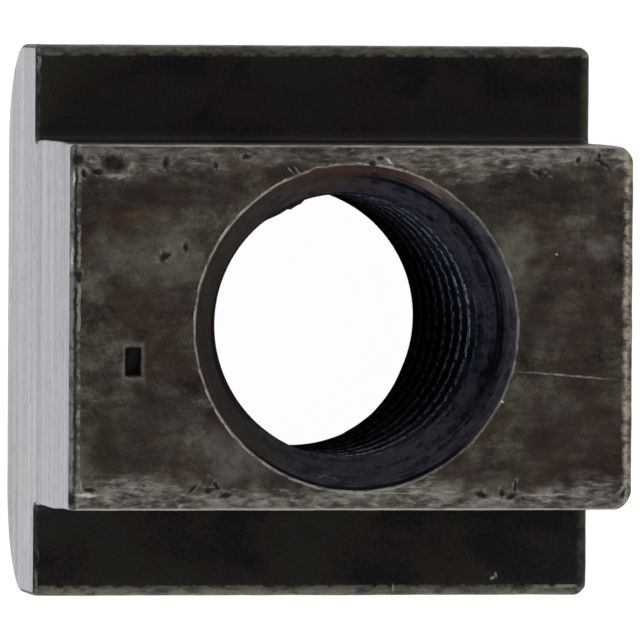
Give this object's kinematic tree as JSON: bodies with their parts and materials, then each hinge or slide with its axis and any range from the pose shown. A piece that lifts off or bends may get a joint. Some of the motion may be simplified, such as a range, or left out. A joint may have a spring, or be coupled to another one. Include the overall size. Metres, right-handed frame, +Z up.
{
  "type": "t-slot nut",
  "caption": "Steel T-slot nut: a wide base that runs under a slot's lips, a neck between them and a threaded hole right through.",
  "frame": {"origin": "middle of the underside of the base", "axes": "+X along the slot, towards the end with rounded edges; +Y across the slot; +Z up along the threaded hole, from the base to the top of the neck"},
  "size_m": [0.0182, 0.0178, 0.0138],
  "materials": {
    "blackened_steel": "black oxide, worn grey-brown on the faces, with one end left bright by the saw"
  },
  "bodies": {
    "root": {"t_slot_nut": "blackened_steel"}
  },
  "joints": []
}
